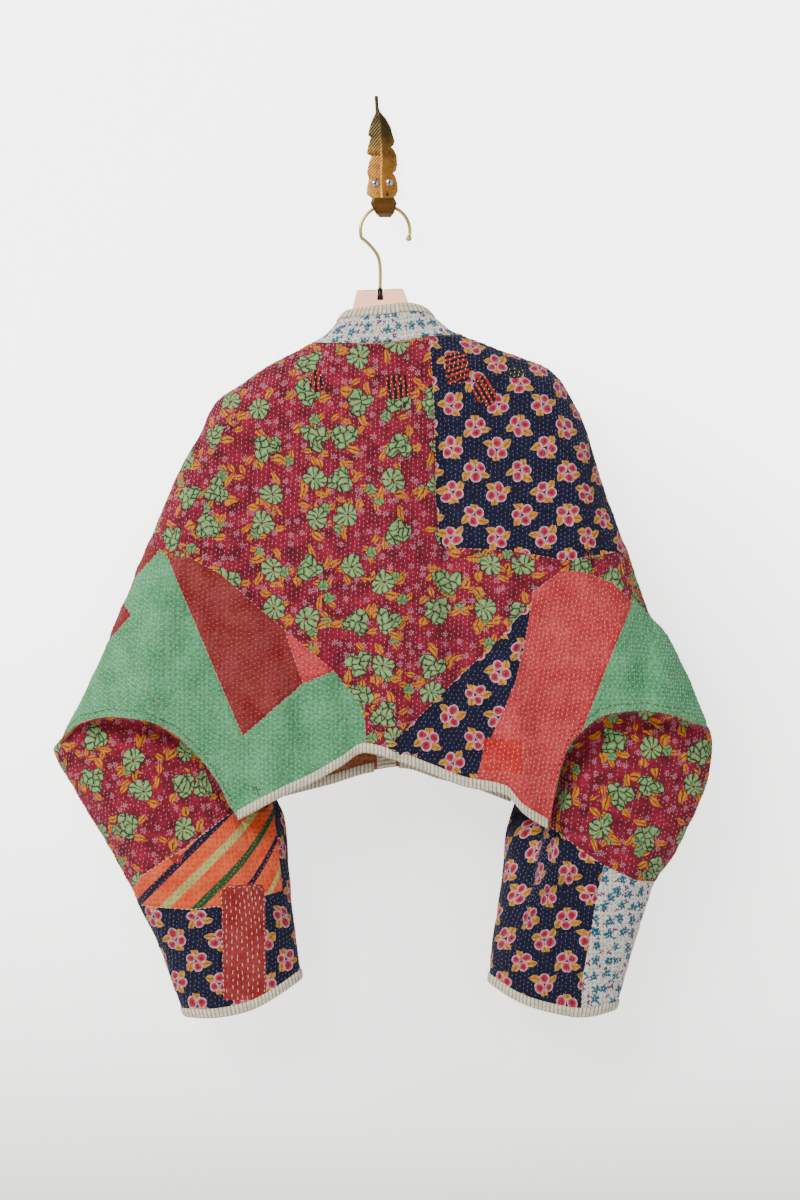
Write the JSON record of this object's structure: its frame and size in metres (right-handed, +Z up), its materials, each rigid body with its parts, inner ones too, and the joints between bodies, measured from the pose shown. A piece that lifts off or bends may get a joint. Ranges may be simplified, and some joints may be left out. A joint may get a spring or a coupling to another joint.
{
  "type": "quilted patchwork jacket on a clear hanger and a leaf-shaped wall hook",
  "caption": "Cropped wing-sleeved quilted patchwork jacket with a band collar and striped bindings, hung back outwards by a clear hanger on a cast leaf wall hook.",
  "frame": {"origin": "on the leaf hook's flat back, at the middle of the plate, on the wall plane", "axes": "+Y into the wall, +Z up, +X to the right of a viewer who faces the wall"},
  "size_m": [0.7552, 0.1008, 1.0712],
  "materials": {
    "back": "matte hand-quilted cotton patchwork with running stitches",
    "front_left": "matte hand-quilted cotton patchwork with running stitches",
    "front_right": "matte hand-quilted cotton patchwork with running stitches",
    "sleeve_left": "matte hand-quilted cotton patchwork with running stitches",
    "sleeve_right": "matte hand-quilted cotton patchwork with running stitches",
    "collar": "matte hand-quilted printed cotton",
    "binding": "matte cream cotton with fine cross stripes",
    "hanger": "clear rose-tinted acrylic, polished",
    "ferrule": "dark, satin",
    "hanger_hook": "pale gold, polished",
    "wall_hook": "antique gilt casting, worn",
    "screw": "polished"
  },
  "bodies": {
    "root": {"back": "back", "front_left": "front_left", "front_right": "front_right", "sleeve_left": "sleeve_left", "sleeve_right": "sleeve_right", "collar": "collar", "binding_collar": "binding", "binding_cuff_left": "binding", "binding_cuff_right": "binding", "binding_edge_left": "binding", "binding_edge_right": "binding", "binding_hem_back": "binding", "binding_hem_left": "binding", "binding_hem_right": "binding", "hanger": "hanger", "ferrule": "ferrule", "hanger_hook": "hanger_hook", "wall_hook": "wall_hook", "screw_left": "screw", "screw_right": "screw"}
  },
  "joints": []
}
